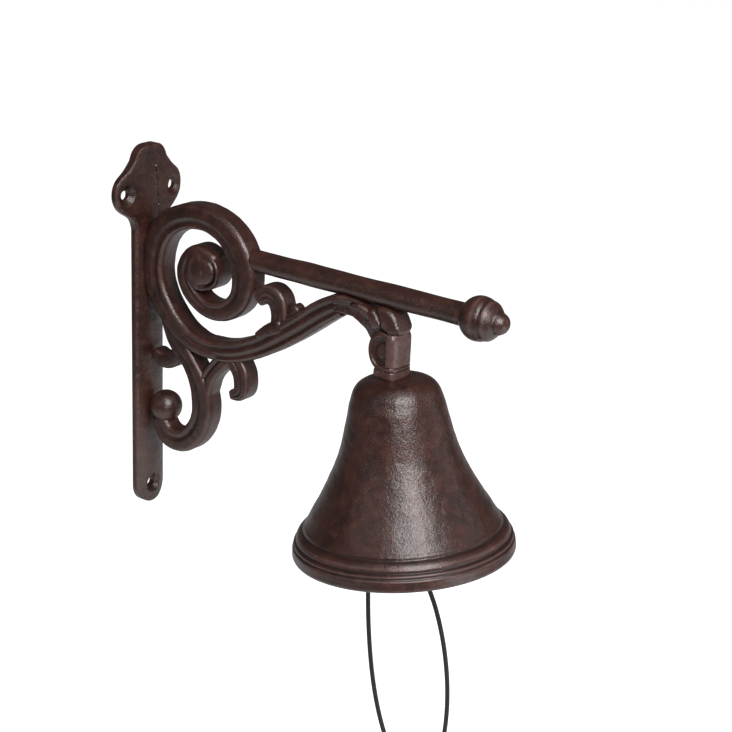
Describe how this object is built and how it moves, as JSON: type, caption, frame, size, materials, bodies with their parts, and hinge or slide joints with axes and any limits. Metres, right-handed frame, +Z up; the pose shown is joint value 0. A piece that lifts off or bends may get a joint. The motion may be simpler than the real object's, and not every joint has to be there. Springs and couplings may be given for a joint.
{
  "type": "wall bell",
  "caption": "Cast iron wall bell on a scrollwork bracket, with a clapper that swings inside and a looped pull cord.",
  "frame": {"origin": "midway between the two upper screw holes, on the wall face of the plate", "axes": "+Z up along the plate, -Y out of the wall along the arm, X along the wall"},
  "size_m": [0.1252, 0.2591, 0.3506],
  "materials": {
    "cast_iron": "dark rust-brown casting, softly glossy",
    "steel": "darkened steel",
    "cord": "smooth black cord"
  },
  "bodies": {
    "frame": {"bracket": "cast_iron", "bell": "cast_iron", "eye_bolt": "steel", "crown_washer": "steel", "clamp_nut": "steel"},
    "link": {"clapper_link": "steel"},
    "clapper": {"clapper": "cast_iron"},
    "cord": {"pull_cord": "cord", "cord_knot": "cord"}
  },
  "joints": [
    {"name": "clapper_swing", "type": "hinge", "parent": "frame", "child": "link", "pos_m": [0, -0.18881, -0.09685], "axis": [-1, 0, 0], "range_deg": [-23, 36]},
    {"name": "clapper_sway", "type": "hinge", "parent": "link", "child": "clapper", "pos_m": [0, -0.18881, -0.10984], "axis": [0, 1, 0], "range_deg": [-12, 12]},
    {"name": "cord_hang", "type": "hinge", "parent": "clapper", "child": "cord", "pos_m": [0, -0.18881, -0.17084], "axis": [-1, 0, 0], "range_deg": [-36, 23]}
  ],
  "couplings": [
    {"joint": "cord_hang", "follows": "clapper_swing", "ratio": -1}
  ]
}
